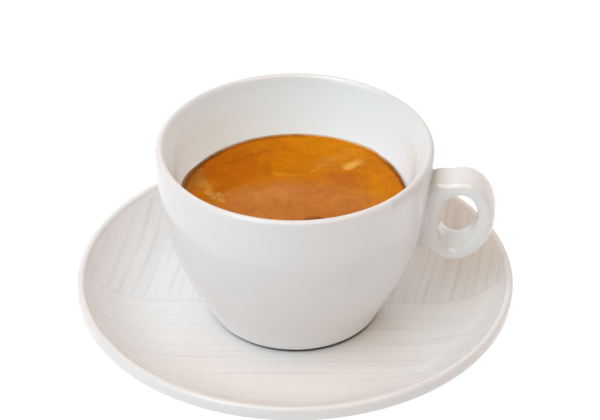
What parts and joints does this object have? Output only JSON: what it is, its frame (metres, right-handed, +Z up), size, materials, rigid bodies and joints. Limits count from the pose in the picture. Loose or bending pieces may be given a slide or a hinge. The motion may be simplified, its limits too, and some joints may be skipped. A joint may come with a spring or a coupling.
{
  "type": "americano in a cup on a saucer",
  "caption": "Black coffee under thick golden crema in a heavy white porcelain cup with a ring handle, on a ribbed saucer with a raised rolled edge.",
  "frame": {"origin": "on the table, at the middle of the saucer's foot ring", "axes": "+Z up along the cup's axis, +X towards the handle, which is turned 8 degrees from it towards -Y, the side the picture was taken from"},
  "size_m": [0.1456, 0.1456, 0.07],
  "materials": {
    "saucer_porcelain": "clear gloss glaze over finely ribbed white porcelain",
    "cup_porcelain": "clear gloss glaze over smooth white porcelain",
    "coffee": "dark still liquid",
    "crema": "fine golden brown foam with a damp sheen"
  },
  "bodies": {
    "root": {"saucer": "saucer_porcelain", "cup": "cup_porcelain", "coffee": "coffee", "crema": "crema"}
  },
  "joints": []
}
